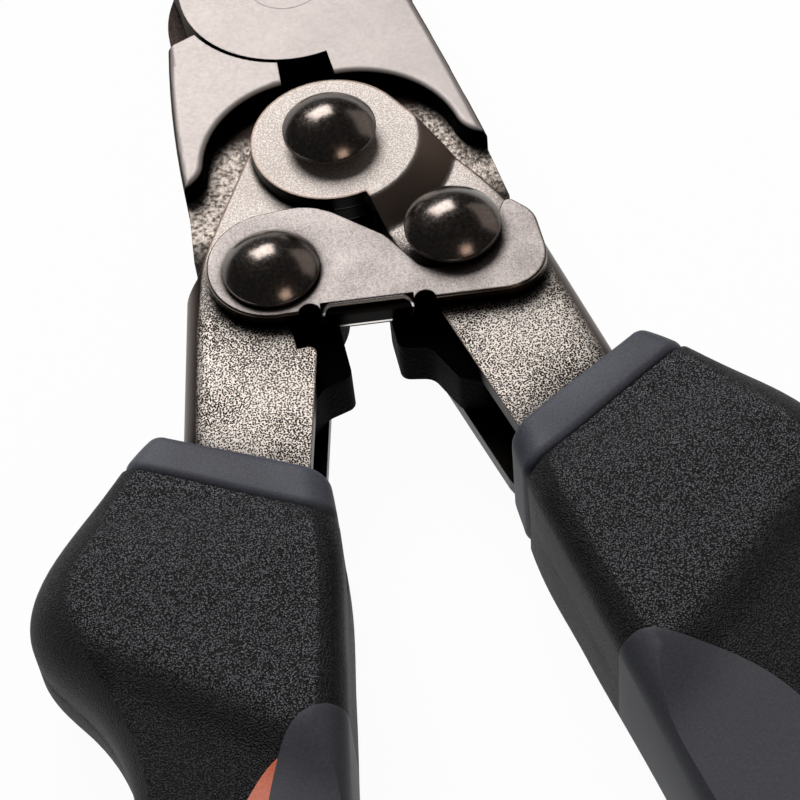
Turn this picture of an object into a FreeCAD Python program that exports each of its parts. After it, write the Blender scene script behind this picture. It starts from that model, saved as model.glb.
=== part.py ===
"""Compound-action cable cutter: two lap-jointed jaws driven by two folded steel handles.

Row frame: +X right, +Y towards the blades, +Z out of the front face. The origin is on the axis
of the handle pivot, at the flat rear face of its rivet, which is what the tool lies on. Every
piece is first drawn about the middle plane of the tool and then lifted by rest_height.
The tool is drawn closed and latched.
"""
import FreeCAD, Part
import math
import os
import Sketcher
from FreeCAD import Placement, Rotation, Vector

SIZES = {
    # linkage
    "pivot_spacing": 28.9,     # handle pivot to jaw pivot
    "pin_reach": 10.7,         # tail rivet from the middle line
    "pin_drop": 18.2,          # tail rivet below the handle pivot
    "rest_height": 10.0,       # middle plane above the surface the tool lies on
    # jaws
    "land_half": 6.0,          # half thickness of the jaw at its lands
    "tail_half": 3.0,          # half thickness of the recessed tail
    "lap_play": 0.2,           # between the two half laps
    "front_disc": 13.6,        # radius of the front half lap
    "rear_disc": 15.8,         # radius of the rear half lap
    "disc_play": 0.5,          # round each disc, in the other jaw
    "blade_length": 46.0,      # jaw pivot to blade tip
    "blade_back": 14.8,        # blade spine from the middle line
    "edge_overlap": 0.7,       # how far each closed edge passes the middle line
    "edge_bevel": 4.2,         # width of the ground bevel
    "jaw_pin": 3.2,            # radius of the jaw rivet's shank
    "jaw_head": 4.8,           # radius of its flush head
    "jaw_head_depth": 2.4,
    "land_round": 1.0,         # softened edges of the lands
    "front_tail_gap": 1.4,     # inner end of the front jaw's tail from the middle line
    "rear_tail_gap": 4.5,      # inner end of the rear jaw's tail from the middle line
    "front_tail_step": 30.7,   # where the bare end of the tail steps back, below the handle pivot
    "rear_tail_step": 33.2,
    "tail_toe": 37.4,          # hidden end of the tails below the handle pivot
    "front_land_gap": 2.8,
    "rear_land_gap": 3.9,
    "front_land_top": 14.8,    # outer corner of the land beside the disc, from the middle line
    "rear_land_top": 16.4,
    "front_land_middle": 16.5,
    "rear_land_middle": 17.7,
    "land_foot": 18.4,         # outer foot of the land, from the middle line
    "front_foot_drop": 3.1,    # and below the handle pivot
    "rear_foot_drop": 1.9,
    "tail_boss": 8.2,          # radius of the tail round its rivet, inside the channel
    "spring_room": 6.5,        # radius of the relief for the return spring
    # folded handles
    "steel": 2.0,              # sheet thickness of handles and latch
    "stack_play": 0.1,         # between stacked sheets
    "eye_radius": 9.6,
    "joggle_inner": 10.4,      # the joggle starts here, flat inside it
    "joggle_outer": 15.0,
    "web_top": 15.4,           # top of the web below the handle pivot
    "web_reach": 17.95,        # outer face of the web, carried up to the handle pivot
    "web_angle": 10.8,
    "arm_inner_reach": 0.5,    # inner edge of the arm, carried up to the handle pivot
    "arm_inner_angle": 14.0,
    "right_inset": 0.4,        # the right front flange reaches further inwards
    "left_back_inset": 0.8,    # and so do the back flanges
    "right_back_inset": 2.2,
    "bend_radius": 4.0,
    "neck_drop": 46.5,         # where the arm starts to narrow, hidden by the collar
    "tang_start": 29.0,        # the tang has its own width from here, along the handle
    "tang_length": 92.0,       # end of the tang along the handle
    "tang_half": 5.6,
    "lip_relief": 10.3,        # room round the left rivet for the latch lip
    "eye_boss": 6.3,           # metal left round the left rivet inside that room
    # rivets
    "shank": 3.0,              # radius of the rivet shanks
    "pin_play": 0.05,          # running fit, on the radius
    "head": 5.6,               # radius of the dome heads
    "head_rim": 0.7,
    "head_rise": 3.6,          # rim and dome together
    "shoulder": 3.3,           # shoulder under the right head, which the latch hooks
    "shoulder_rise": 0.9,      # right head above the level of the left one
    "pivot_rise": 1.3,         # and the head of the handle pivot
    "cap_round": 0.5,
    "bush_wall": 0.8,
    # spring
    "wire": 1.5,
    "coil": 5.1,               # mean radius
    "coil_turns": 2.5,
    "leg_drop": 14.6,
    # latch
    "latch_lobe": 7.75,
    "latch_round": 0.35,       # worn upper edge of the plate
    "latch_edge": 6.7,         # lower edge below the left rivet
    "latch_slant": 7.0,        # of that edge, falling towards the hook
    "latch_reach": 20.5,       # outer edge of the hook
    "notch": 1.25,             # radius of the relief notches
    "lip_left": 6.4,
    "lip_right": 4.3,
    "lip_drop": 1.8,           # lip below the under side of the plate
    # grips
    "handle_x": 15.6,          # a point on the middle line of the arm
    "handle_y": 30.0,
    "handle_angle": 10.2,
    "grip_length": 138.0,      # from that point to the end of the grip
    "grip_half": 10.0,         # half thickness of the grip
    "waist_half": 8.0,         # half thickness in the valley below the guard
    "collar_half": 8.0,
    "collar_top": 10.6,        # outer end of the collar's upper edge, along the handle
    "collar_width": 6.1,
    "collar_fall": 0.378,      # drop of its edges per length across the handle
    "collar_round": 1.3,       # rounding of its upper end
    "guard_reach": 24.0,       # hand guard from the handle's middle line
    "guard_place": 31.5,       # and along it
    "grip_outer": 11.2,
    "grip_inner": 9.8,
    "core_wall": 1.3,          # hard plastic round the steel tang
    "core_half": 6.9,
    "stripe": 5.6,             # width of the core where it shows between the two soft parts
    "insert_top": 45.8,        # upper end of the smooth insert, along the handle
    "left_stripe_top": 51.7,   # upper end of the coloured stripe
    "right_stripe_top": 63.0,
    "left_insert_side": -1.4,  # outer side of the insert, across the handle
    "right_insert_side": 3.6,
}

doc = FreeCAD.newDocument("cable_cutter")
sheet = doc.addObject("Spreadsheet::Sheet", "Sizes")
for row, (alias, value) in enumerate(SIZES.items(), start=1):
    sheet.set("A%d" % row, alias)
    sheet.set("B%d" % row, str(value))
    sheet.setAlias("B%d" % row, alias)
doc.recompute()

UP = Vector(0, 0, 1)
nodes = []


def mm(alias):
    """The value of one cell of the sheet."""
    return float(getattr(sheet, alias))


def tangent(alias):
    return math.tan(math.radians(mm(alias)))


# Levels above the middle plane.
flange_low = mm("tail_half") + mm("stack_play")
flange_top = flange_low + mm("steel")
plate_low = flange_top + mm("stack_play")
plate_top = plate_low + mm("steel")
head_seat = plate_top + mm("stack_play")
pivot = Vector(0, 0, 0)
jaw_centre = Vector(0, mm("pivot_spacing"), 0)
right_pin = Vector(mm("pin_reach"), -mm("pin_drop"), 0)
left_pin = Vector(-mm("pin_reach"), -mm("pin_drop"), 0)


def polar(centre, radius, degrees):
    turn = math.radians(degrees)
    return (centre.x + radius * math.cos(turn), centre.y + radius * math.sin(turn))


def rounded_outline(corners):
    """A closed wire through corners (x, y) or (x, y, radius), with tangent arcs at the radii."""
    points = [Vector(corner[0], corner[1], 0) for corner in corners]
    starts = []
    ends = []
    for index, corner in enumerate(corners):
        here = points[index]
        back = points[index - 1] - here
        ahead = points[(index + 1) % len(points)] - here
        radius = corner[2] if len(corner) > 2 else 0
        half_turn = (math.pi - back.getAngle(ahead)) / 2
        reach = radius * math.tan(half_turn)
        back.normalize()
        ahead.normalize()
        starts.append(here + back * reach)
        ends.append(here + ahead * reach)
    edges = []
    for index, corner in enumerate(corners):
        if (starts[index] - ends[index]).Length > 1e-6:
            here = points[index]
            inward = (starts[index] + ends[index]) * 0.5 - here
            radius = corner[2]
            to_centre = math.hypot(radius, (starts[index] - here).Length)
            inward.normalize()
            middle = here + inward * (to_centre - radius)
            edges.append(Part.Arc(starts[index], middle, ends[index]).toShape())
        following = starts[(index + 1) % len(corners)]
        if (ends[index] - following).Length > 1e-6:
            edges.append(Part.LineSegment(ends[index], following).toShape())
    return Part.Wire(edges)


def plate(wire, low, top):
    """A flat plate of this outline between two levels."""
    face = Part.Face(wire)
    face.translate(Vector(0, 0, low))
    return face.extrude(Vector(0, 0, top - low))


def disc(centre, radius, low, top):
    return Part.makeCylinder(radius, top - low, Vector(centre.x, centre.y, low), UP)


def ring(centre, inner, outer, low, top):
    return disc(centre, outer, low, top).cut(disc(centre, inner, low, top))


def arc_points(centre, radius, first, last, count):
    """Points along an arc, both ends among them."""
    step = (last - first) / (count - 1)
    return [polar(centre, radius, first + index * step) for index in range(count)]


def add(label, shape, turn=Rotation()):
    """One sub-part drawn about the middle plane, lifted to its place."""
    node = doc.addObject("Part::Feature", label)
    node.Label = label
    node.Shape = shape.removeSplitter()
    node.Placement = Placement(Vector(0, 0, mm("rest_height")), turn)
    nodes.append(node)
    return node


# ---------------------------------------------------------------- lines of the handles
def web_x(y):
    """Outer face of the web at this height, on the right."""
    return mm("web_reach") - y * tangent("web_angle")


def inner_x(y, inset):
    """Inner edge of the arm at this height, on the right."""
    return mm("arm_inner_reach") - inset - y * tangent("arm_inner_angle")


handle_origin = Vector(mm("handle_x"), -mm("handle_y"), 0)
down_handle = Vector(math.sin(math.radians(mm("handle_angle"))),
                     -math.cos(math.radians(mm("handle_angle"))), 0)
outward = Vector(-down_handle.y, down_handle.x, 0)


def on_handle(along, across, level=0.0):
    """A point given along and across the right handle."""
    point = handle_origin + down_handle * along + outward * across
    return Vector(point.x, point.y, level)


# ---------------------------------------------------------------- jaws
def blade_outline():
    """The front blade, on the left of the middle line with its edge to the right."""
    length = mm("blade_length")
    base = mm("pivot_spacing")
    back = mm("blade_back")
    overlap = mm("edge_overlap")
    disc_top = base + mm("front_disc")
    throat = Vector(overlap + 0.9, disc_top + 1.5, 0)
    belly = Vector(overlap, base + 0.68 * length, 0)
    tip = Vector(overlap + 2.0, base + length, 0)
    foot = Vector(-mm("front_disc"), base, 0)
    spine = Part.BSplineCurve()
    spine.interpolate(Points=[foot, Vector(-back, base + 0.30 * length, 0),
                              Vector(-back * 0.86, base + 0.62 * length, 0),
                              Vector(-back * 0.42, base + 0.90 * length, 0), tip],
                      InitialTangent=Vector(0, 1, 0), FinalTangent=Vector(1, 0.12, 0))
    edges = [spine.toShape(),
             Part.Arc(tip, belly, throat).toShape(),
             Part.LineSegment(throat, Vector(throat.x, base, 0)).toShape(),
             Part.LineSegment(Vector(throat.x, base, 0), foot).toShape()]
    return Part.Wire(edges), (tip, belly, throat)


def bevel_tool(edge_points):
    """The metal ground away in front of the cutting edge."""
    tip, belly, throat = edge_points
    width = mm("edge_bevel")
    low = mm("lap_play") / 2 + 0.5
    top = mm("land_half")
    circle = Part.Circle(tip, belly, throat)
    centre = circle.Center
    radius = circle.Radius
    outward = 8.0
    section = Part.makePolygon([Vector(radius, 0, low), Vector(radius + width, 0, top + 0.05),
                                Vector(radius - outward, 0, top + 0.05),
                                Vector(radius - outward, 0, low), Vector(radius, 0, low)])
    section.translate(centre)
    sector = math.degrees((tip - centre).getAngle(throat - centre))
    face = Part.Face(section)
    side = (belly - centre).x
    start = 180.0 if side < 0 else 0.0
    face.rotate(centre, UP, start - sector * 0.75)
    return face.revolve(centre, UP, sector * 1.5)


def jaw_shape(side, own_disc, other_disc):
    """A jaw with its tail on the right and its blade on the left, in the front half lap."""
    land_gap = mm(side + "_land_gap")
    tail_gap = mm(side + "_tail_gap")
    step = -mm(side + "_tail_step")
    lap = mm("lap_play") / 2
    land = mm("land_half")
    tail = mm("tail_half")
    other_cut = other_disc + mm("disc_play")
    pin = right_pin
    # the recessed tail, from under the land down into the channel
    shoulder = polar(pin, mm("tail_boss") + 2.6, 39.0)
    boss_top = polar(pin, mm("tail_boss"), 39.0)
    boss = arc_points(pin, mm("tail_boss"), 39.0, -10.0, 3)
    toe = -mm("tail_toe")
    web_inner = web_x(toe) - mm("steel")
    relief = mm("spring_room")
    rise = mm("pivot_spacing")
    drop = mm("pin_drop")
    tail_corners = [(land_gap, 0.5 * rise), (land_gap + 1.6, relief, 1.0),
                    (0.9 * relief, -0.39 * drop, 3.0), (tail_gap, -1.3 * drop, 8.0),
                    (tail_gap, step + 0.9, 1.2),
                    (tail_gap + 3.5, step, 2.0), (tail_gap + 5.6, toe + 1.8, 1.2),
                    (tail_gap + 8.4, toe, 2.0), (web_inner - 5.5, toe, 2.0),
                    (web_inner - 2.4, toe + 6.0, 4.0), boss[2]]
    foot_x = mm("land_foot")
    outer_corners = [(shoulder[0], shoulder[1], 0.8), (foot_x, -0.22 * drop, 1.0),
                     (foot_x - 0.3, 0.0), (mm(side + "_land_middle") - 0.6, 0.31 * rise),
                     (mm("rear_disc") - 1.8, 0.48 * rise)]
    lower = rounded_outline(tail_corners + [(pin.x + mm("tail_boss") * 0.9, pin.y), boss_top]
                            + outer_corners)
    body = plate(lower, -tail, tail).fuse(disc(pin, mm("tail_boss"), -tail, tail))
    # the full-thickness land with its concave lower edge
    foot = Vector(mm("land_foot"), -mm(side + "_foot_drop"), 0)
    bend = foot + Vector(-3.2, 3.6, 0)
    hollow = Vector((land_gap + bend.x) / 2 + 2.0, 0.28 * rise, 0)
    inner_foot = Vector(land_gap, 0.395 * rise, 0)
    top_corner = Vector(mm(side + "_land_top"), 0.75 * rise, 0)
    inner_side = Vector(0.74 * mm("front_disc"), 0.827 * rise, 0)
    outer_middle = Vector(mm(side + "_land_middle"), (foot.y + top_corner.y) / 2 + 1.5, 0)
    inner_top = Vector(land_gap - 0.6, 0.79 * rise, 0)
    rim = [Part.Arc(inner_foot, hollow, bend).toShape(),
           Part.Arc(bend, foot + Vector(-2.2, 1.4, 0), foot).toShape(),
           Part.Arc(foot, outer_middle, top_corner).toShape(),
           Part.LineSegment(top_corner, inner_side).toShape(),
           Part.LineSegment(inner_side, inner_top).toShape(),
           Part.LineSegment(inner_top, inner_foot).toShape()]
    full = plate(Part.Wire(rim), -land, land)
    lower_half = disc(jaw_centre, other_cut, -land - 1, lap)
    body = body.fuse(full).cut(lower_half)
    # the half lap and the blade
    outline, edge_points = blade_outline()
    blade = plate(outline, lap, land)
    blade = blade.cut(bevel_tool(edge_points))
    body = body.fuse(disc(jaw_centre, own_disc, lap, land)).fuse(blade)
    body = body.cut(disc(pin, mm("shank") + mm("pin_play"), -land, land))
    body = body.cut(disc(pivot, mm("spring_room"), -land, land))
    return body.removeSplitter()


def soften(shape, level, radius, keep):
    """Round the edges of the flat at this level that the keep test accepts."""
    chosen = []
    for edge in shape.Edges:
        box = edge.BoundBox
        flat = abs(box.ZMin - level) < 1e-4 and abs(box.ZMax - level) < 1e-4
        if flat and keep(edge):
            chosen.append(edge)
    return shape.makeFillet(radius, chosen)


def is_land_edge(edge):
    """Edges of the land and tail side, away from the disc's own circle and the blade."""
    middle = edge.valueAt((edge.FirstParameter + edge.LastParameter) / 2)
    away = Vector(middle.x, middle.y - mm("pivot_spacing"), 0).Length
    return middle.y < mm("pivot_spacing") - 8 and away > mm("rear_disc") + 1.5


def front_jaw():
    shape = jaw_shape("front", mm("front_disc"), mm("rear_disc"))
    shape = soften(shape, mm("land_half"), mm("land_round"), is_land_edge)
    land = mm("land_half")
    shape = shape.cut(disc(jaw_centre, mm("jaw_pin") + mm("pin_play"), -land, land + 1))
    seat = land - mm("jaw_head_depth")
    # the head is ground flush with the land, so its seam closes up
    shape = shape.cut(disc(jaw_centre, mm("jaw_head"), seat, land + 1))
    add("front_jaw", shape)


def rear_jaw():
    """Turned over about Y, so its tail is on the left and its blade behind, on the right."""
    shape = jaw_shape("rear", mm("rear_disc"), mm("front_disc"))
    land = mm("land_half")
    shape = soften(shape, -land, mm("land_round"), is_land_edge)
    hole = mm("jaw_pin") + mm("disc_play")
    shape = shape.cut(disc(jaw_centre, hole, -land, land + 1))
    seat = land - mm("jaw_head_depth")
    shape = shape.cut(disc(jaw_centre, mm("jaw_head") + mm("disc_play"), seat, land + 1))
    add("rear_jaw", shape, Rotation(Vector(0, 1, 0), 180))


# ---------------------------------------------------------------- rivets, caps and bush
def linear(const=0.0, **weights):
    """A sum of weighted sheet cells, as its value and as an expression."""
    value = const + sum(weight * mm(alias) for alias, weight in weights.items())
    terms = ["%r * Sizes.%s" % (weight, alias) for alias, weight in weights.items()]
    return value, " + ".join([repr(const)] + terms)


def bind(sketch, kind, geometry, point, size):
    index = sketch.addConstraint(Sketcher.Constraint(kind, geometry, point, size[0]))
    sketch.setExpression("Constraints[%d]" % index, size[1])


def turned(label, profile, dome_rise, place):
    """A body revolved from a profile of (radius, height) pairs.

    The profile starts on the axis at its foot and ends at the rim of the dome, which an arc
    then carries to the axis.
    """
    body = doc.addObject("PartDesign::Body", label)
    body.Label = label
    plane = [item for item in body.Origin.OriginFeatures if item.Role == "XZ_Plane"][0]
    sketch = body.newObject("Sketcher::SketchObject", label + "_profile")
    sketch.AttachmentSupport = [(plane, "")]
    sketch.MapMode = "FlatFace"
    points = [Vector(radius[0], height[0], 0) for radius, height in profile]
    for index in range(len(points) - 1):
        sketch.addGeometry(Part.LineSegment(points[index], points[index + 1]), False)
        bind(sketch, "DistanceX", index, 1, profile[index][0])
        bind(sketch, "DistanceY", index, 1, profile[index][1])
        if index:
            sketch.addConstraint(Sketcher.Constraint("Coincident", index - 1, 2, index, 1))
    last = len(points) - 2
    bind(sketch, "DistanceX", last, 2, profile[-1][0])
    bind(sketch, "DistanceY", last, 2, profile[-1][1])
    rim = points[-1]
    radius = (rim.x ** 2 + dome_rise[0] ** 2) / (2 * dome_rise[0])
    centre = Vector(0, rim.y + dome_rise[0] - radius, 0)
    start = math.atan2(rim.y - centre.y, rim.x)
    circle = Part.Circle(centre, UP, radius)
    arc = sketch.addGeometry(Part.ArcOfCircle(circle, start, math.pi / 2), False)
    axis = sketch.addGeometry(Part.LineSegment(centre + Vector(0, radius, 0), points[0]), False)
    sketch.addConstraint(Sketcher.Constraint("Coincident", last, 2, arc, 1))
    sketch.addConstraint(Sketcher.Constraint("PointOnObject", arc, 3, -2))
    sketch.addConstraint(Sketcher.Constraint("Coincident", arc, 2, axis, 1))
    sketch.addConstraint(Sketcher.Constraint("Coincident", axis, 2, 0, 1))
    top = (rim.y + dome_rise[0], "%s + %s" % (profile[-1][1][1], dome_rise[1]))
    bind(sketch, "DistanceY", axis, 1, top)
    sketch.addConstraint(Sketcher.Constraint("PointOnObject", axis, 1, -2))
    turn = body.newObject("PartDesign::Revolution", label + "_turn")
    turn.Profile = sketch
    turn.ReferenceAxis = (sketch, ["V_Axis"])
    turn.Angle = 360
    body.Tip = turn
    body.Placement.Base = Vector(place.x, place.y, 0)
    body.setExpression("Placement.Base.z", "Sizes.rest_height")
    nodes.append(body)
    return body


def dome_rivet(label, place, foot, seat, neck):
    """A dome-headed rivet: shank from its foot, shoulder of radius neck, then the head."""
    zero = linear()
    shoulder_foot = linear(tail_half=1, stack_play=2, steel=1)
    rim_top = (seat[0] + mm("head_rim"), seat[1] + " + Sizes.head_rim")
    profile = [(zero, foot), (linear(shank=1), foot), (linear(shank=1), shoulder_foot),
               (neck, shoulder_foot), (neck, seat), (linear(head=1), seat),
               (linear(head=1), rim_top)]
    return turned(label, profile, linear(head_rise=1, head_rim=-1), place)


def bind_place(body, x_expression, y_expression):
    body.setExpression("Placement.Base.x", x_expression)
    body.setExpression("Placement.Base.y", y_expression)


def rivets():
    seat = linear(tail_half=1, stack_play=3, steel=2)
    deep_foot = linear(rest_height=-1)
    raised = linear(tail_half=1, stack_play=3, steel=2, pivot_rise=1)
    pivot_rivet = dome_rivet("handle_pivot_rivet", pivot, deep_foot, raised,
                             linear(0.02, shank=1))
    bind_place(pivot_rivet, "0", "0")
    near_foot = linear(tail_half=-1, stack_play=-3, steel=-2)
    left = dome_rivet("left_tail_rivet", left_pin, near_foot, seat, linear(0.02, shank=1))
    bind_place(left, "-Sizes.pin_reach", "-Sizes.pin_drop")
    proud = linear(tail_half=1, stack_play=3, steel=2, shoulder_rise=1)
    right = dome_rivet("right_tail_rivet", right_pin, near_foot, proud, linear(shoulder=1))
    bind_place(right, "Sizes.pin_reach", "-Sizes.pin_drop")


def washer(label, inner, outer, low, height, x_expression, y_expression, rounded=True):
    """A ring of plain cylinders bound to the sheet, with a rounded lower rim."""
    whole = doc.addObject("Part::Cylinder", label + "_blank")
    whole.setExpression("Radius", outer)
    whole.setExpression("Height", height)
    hole = doc.addObject("Part::Cylinder", label + "_hole")
    hole.setExpression("Radius", inner)
    hole.setExpression("Height", height)
    base = whole
    doc.recompute()
    if rounded:
        base = doc.addObject("Part::Fillet", label + "_rounded")
        base.Base = whole
        foot = [index for index, edge in enumerate(whole.Shape.Edges, start=1)
                if edge.BoundBox.ZMax < 1e-6 and edge.Closed]
        base.Edges = [(foot[0], mm("cap_round"), mm("cap_round"))]
    cut = doc.addObject("Part::Cut", label)
    cut.Label = label
    cut.Base = base
    cut.Tool = hole
    cut.setExpression("Placement.Base.x", x_expression)
    cut.setExpression("Placement.Base.y", y_expression)
    cut.setExpression("Placement.Base.z", "Sizes.rest_height + " + low)
    nodes.append(cut)


def caps():
    """The rear caps that close the rivets, and the bush between the left handle's eyes."""
    inner = "Sizes.shank + 0.01"
    outer = "Sizes.head"
    deep = "-Sizes.rest_height"
    height = "Sizes.rest_height - Sizes.tail_half - 3 * Sizes.stack_play - 2 * Sizes.steel"
    washer("handle_pivot_cap", inner, outer, deep, height, "0", "0")
    near = "-Sizes.tail_half - 3 * Sizes.stack_play - 2 * Sizes.steel"
    near_height = "Sizes.steel + Sizes.stack_play"
    washer("left_tail_cap", inner, outer, near, near_height, "-Sizes.pin_reach", "-Sizes.pin_drop")
    washer("right_tail_cap", inner, outer, near, near_height, "Sizes.pin_reach",
           "-Sizes.pin_drop")
    washer("handle_pivot_bush", inner, "Sizes.shank + Sizes.bush_wall", "-Sizes.tail_half",
           "2 * Sizes.tail_half", "0", "0", rounded=False)


def jaw_rivet():
    """Flush rivet of the lap joint and the cap that closes it behind, both held by the front jaw."""
    land = mm("land_half")
    depth = mm("jaw_head_depth")
    spigot = mm("jaw_pin") - 1.2
    body = disc(jaw_centre, mm("jaw_head"), land - depth, land)
    body = body.fuse(disc(jaw_centre, mm("jaw_pin"), -land + depth, land - depth))
    body = body.fuse(disc(jaw_centre, spigot, -land, -land + depth))
    add("jaw_rivet", body)
    add("jaw_rivet_cap", ring(jaw_centre, spigot, mm("jaw_head"), -land, -land + depth - 0.1))


# ---------------------------------------------------------------- handles
def flange_outline(inset, hollow):
    """Half a handle in plan, on the right. A hollow one is cut back for the latch lip."""
    eye = mm("eye_radius")
    top = -mm("web_top")
    corner = Vector(web_x(top) - 1.7, top + 0.8, 0)
    lean = math.degrees(math.atan2(corner.y, corner.x))
    reach = math.degrees(math.acos(eye / corner.Length))
    neck = -mm("neck_drop")
    half = mm("tang_half")
    tang = [on_handle(mm("tang_start"), half), on_handle(mm("tang_length"), half),
            on_handle(mm("tang_length"), -half), on_handle(mm("tang_start"), -half)]
    pin = right_pin
    corners = [polar(pivot, eye, lean + reach), (corner.x, corner.y), (web_x(top), top - 0.6),
               (web_x(neck), neck)]
    corners += [(point.x, point.y) for point in tang]
    corners.append((inner_x(neck, inset), neck))
    if hollow:
        relief = mm("lip_relief")
        foot_y = pin.y - relief * math.cos(math.radians(6.0))
        corners += [(inner_x(foot_y, inset), foot_y, 1.0), polar(pin, relief, 266.0),
                    polar(pin, mm("eye_boss"), 264.0)]
        corners += arc_points(pin, mm("eye_boss"), 246.0, 198.0, 4)
    else:
        corners.append((inner_x(-15.0, inset), -15.0, 3.0))
    corners.append(polar(pivot, eye, -80.0 if hollow else -76.0))
    corners.append((0.0, 0.0))
    return rounded_outline(corners)


def web_line(inward, top):
    """Points down the outer face of the web and tang, moved inwards by this much."""
    neck = -mm("neck_drop")
    half = mm("tang_half")
    slant = Vector(-inward / math.cos(math.radians(mm("web_angle"))), 0, 0)
    return [Vector(web_x(top), top, 0) + slant, Vector(web_x(neck), neck, 0) + slant,
            on_handle(mm("tang_start"), half) + slant,
            on_handle(1.2 * mm("tang_length"), half) + slant]


def strip(inward, top, half):
    """Everything on the inner side of the web line, between two levels."""
    line = web_line(inward, top)
    far = -12.0
    loop = line + [Vector(far, line[-1].y, 0), Vector(far, top, 0), line[0]]
    return plate(Part.makePolygon(loop), -half, half)


def handle_shape(joggled, hollow, front_inset, back_inset):
    """A folded channel on the right: web outside, two flanges, an eye on each."""
    low = flange_low
    top = flange_top
    pin = right_pin
    eye = mm("eye_radius")
    folded = strip(0.0, 20.0, top)
    fold = []
    for edge in folded.Edges:
        middle = edge.valueAt((edge.FirstParameter + edge.LastParameter) / 2)
        box = edge.BoundBox
        if box.ZLength < 1e-6 and box.YLength > 1 and middle.x > 0:
            fold.append(edge)
    folded = folded.makeFillet(mm("bend_radius"), fold)
    front = plate(flange_outline(front_inset, hollow), 0, top)
    back = plate(flange_outline(back_inset, False), -top, 0)
    blank = front.fuse(back).common(folded)
    # the hollow between the flanges, open inwards and upwards
    room = strip(mm("steel"), -mm("web_top"), low)
    above = Part.makeBox(60, 60, 2 * low, Vector(-15, -mm("web_top"), -low))
    blank = blank.cut(room.fuse(above))
    if joggled:
        blank = joggle(blank, front_inset, back_inset)
    else:
        blank = blank.fuse(disc(pivot, eye, low, top)).fuse(disc(pivot, eye, -top, -low))
    hole = mm("shank") + mm("pin_play")
    blank = blank.cut(disc(pivot, hole, -20, 20))
    blank = blank.cut(disc(pin, hole, -20, 20))
    return blank.removeSplitter()


def joggle(blank, front_inset, back_inset):
    """Lift the eyes of a handle over the flat eyes of the other one."""
    inner = mm("joggle_inner")
    outer = mm("joggle_outer")
    low = flange_low
    top = flange_top
    lifted_low = plate_low
    lifted_top = plate_top
    eye = mm("eye_radius")
    kept = blank.cut(disc(pivot, outer, -20, 20))
    profile = Part.makePolygon([Vector(0, 0, lifted_low), Vector(inner - 0.3, 0, lifted_low),
                                Vector(outer - 0.3, 0, low), Vector(outer, 0, low),
                                Vector(outer, 0, top), Vector(inner, 0, lifted_top),
                                Vector(0, 0, lifted_top), Vector(0, 0, lifted_low)])
    dish = Part.Face(profile).revolve(pivot, UP, 360)
    result = kept
    for sign, inset in ((1, front_inset), (-1, back_inset)):
        neck = plate(flange_outline(inset, False), -1, 12)
        neck = neck.fuse(disc(pivot, eye, -1, 12))
        lifted = dish.common(neck)
        if sign < 0:
            lifted = lifted.mirror(pivot, UP)
        result = result.fuse(lifted)
    return result


def handles():
    left = handle_shape(False, True, 0.0, mm("left_back_inset"))
    add("left_handle_channel", left.mirror(pivot, Vector(1, 0, 0)))
    right = handle_shape(True, False, mm("right_inset"), mm("right_back_inset"))
    add("right_handle_channel", right)


# ---------------------------------------------------------------- latch
def latch_plate():
    """One stamped plate, pivoted on the left rivet, that hooks the right rivet's shoulder."""
    lobe = mm("latch_lobe")
    reach = mm("latch_reach")
    pin = right_pin
    start = Vector(left_pin.x + 0.4, left_pin.y - mm("latch_edge"), 0)
    fall = tangent("latch_slant")
    edge_left = start.y
    edge_right = start.y - (reach - start.x) * fall
    top = edge_left + 2 * lobe + 0.1
    left = start.x - lobe
    corners = [(left, edge_left, lobe * 0.99), (left, top, lobe * 0.99),
               (start.x + 6.2, top, 8.0), (pin.x - 7.6, pin.y + 1.8, 4.0),
               (pin.x - 4.2, pin.y - 4.6, 2.6), (pin.x + 2.1, pin.y - 4.4, 2.4),
               (pin.x + 7.1, pin.y + 3.9, 0.9), (reach, pin.y + 0.6, 4.0),
               (reach, edge_right, 5.2), (start.x, edge_left)]
    blank = plate(rounded_outline(corners), plate_low, plate_top)
    blank = soften(blank, plate_top, mm("latch_round"), lambda edge: True)
    # lip and relief notches are laid out along the lower edge, then turned to its slant
    steel = mm("steel")
    first = -mm("lip_left") - start.x
    last = mm("lip_right") - start.x
    lip_foot = plate_low - mm("lip_drop")
    lip = Part.makeBox(last - first, steel, plate_top - lip_foot, Vector(first, 0.15, lip_foot))
    fold = [item for item in lip.Edges
            if abs(item.BoundBox.YMax - 0.15) < 1e-6
            and abs(item.BoundBox.ZMin - plate_top) < 1e-6]
    lip = lip.makeFillet(steel * 0.85, fold)
    trim = Part.makeBox(last - first, steel, 4 * steel, Vector(first, 1.0 - steel, 2.0))
    radius = mm("notch")
    notches = []
    for x in (first - radius, last + radius):
        slot = disc(Vector(x, -0.1, 0), radius, plate_low - 4, plate_top + 1)
        notches.append(slot.fuse(Part.makeBox(2 * radius, 3, 9, Vector(x - radius, -3.1, 1))))
    for shape in [lip, trim] + notches:
        shape.rotate(pivot, UP, -mm("latch_slant"))
        shape.translate(start)
    blank = blank.cut(trim).fuse(lip)
    for slot in notches:
        blank = blank.cut(slot)
    hole = disc(left_pin, mm("shank") + mm("pin_play"), plate_low - 1, plate_top + 1)
    add("latch_plate", blank.cut(hole))


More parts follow.
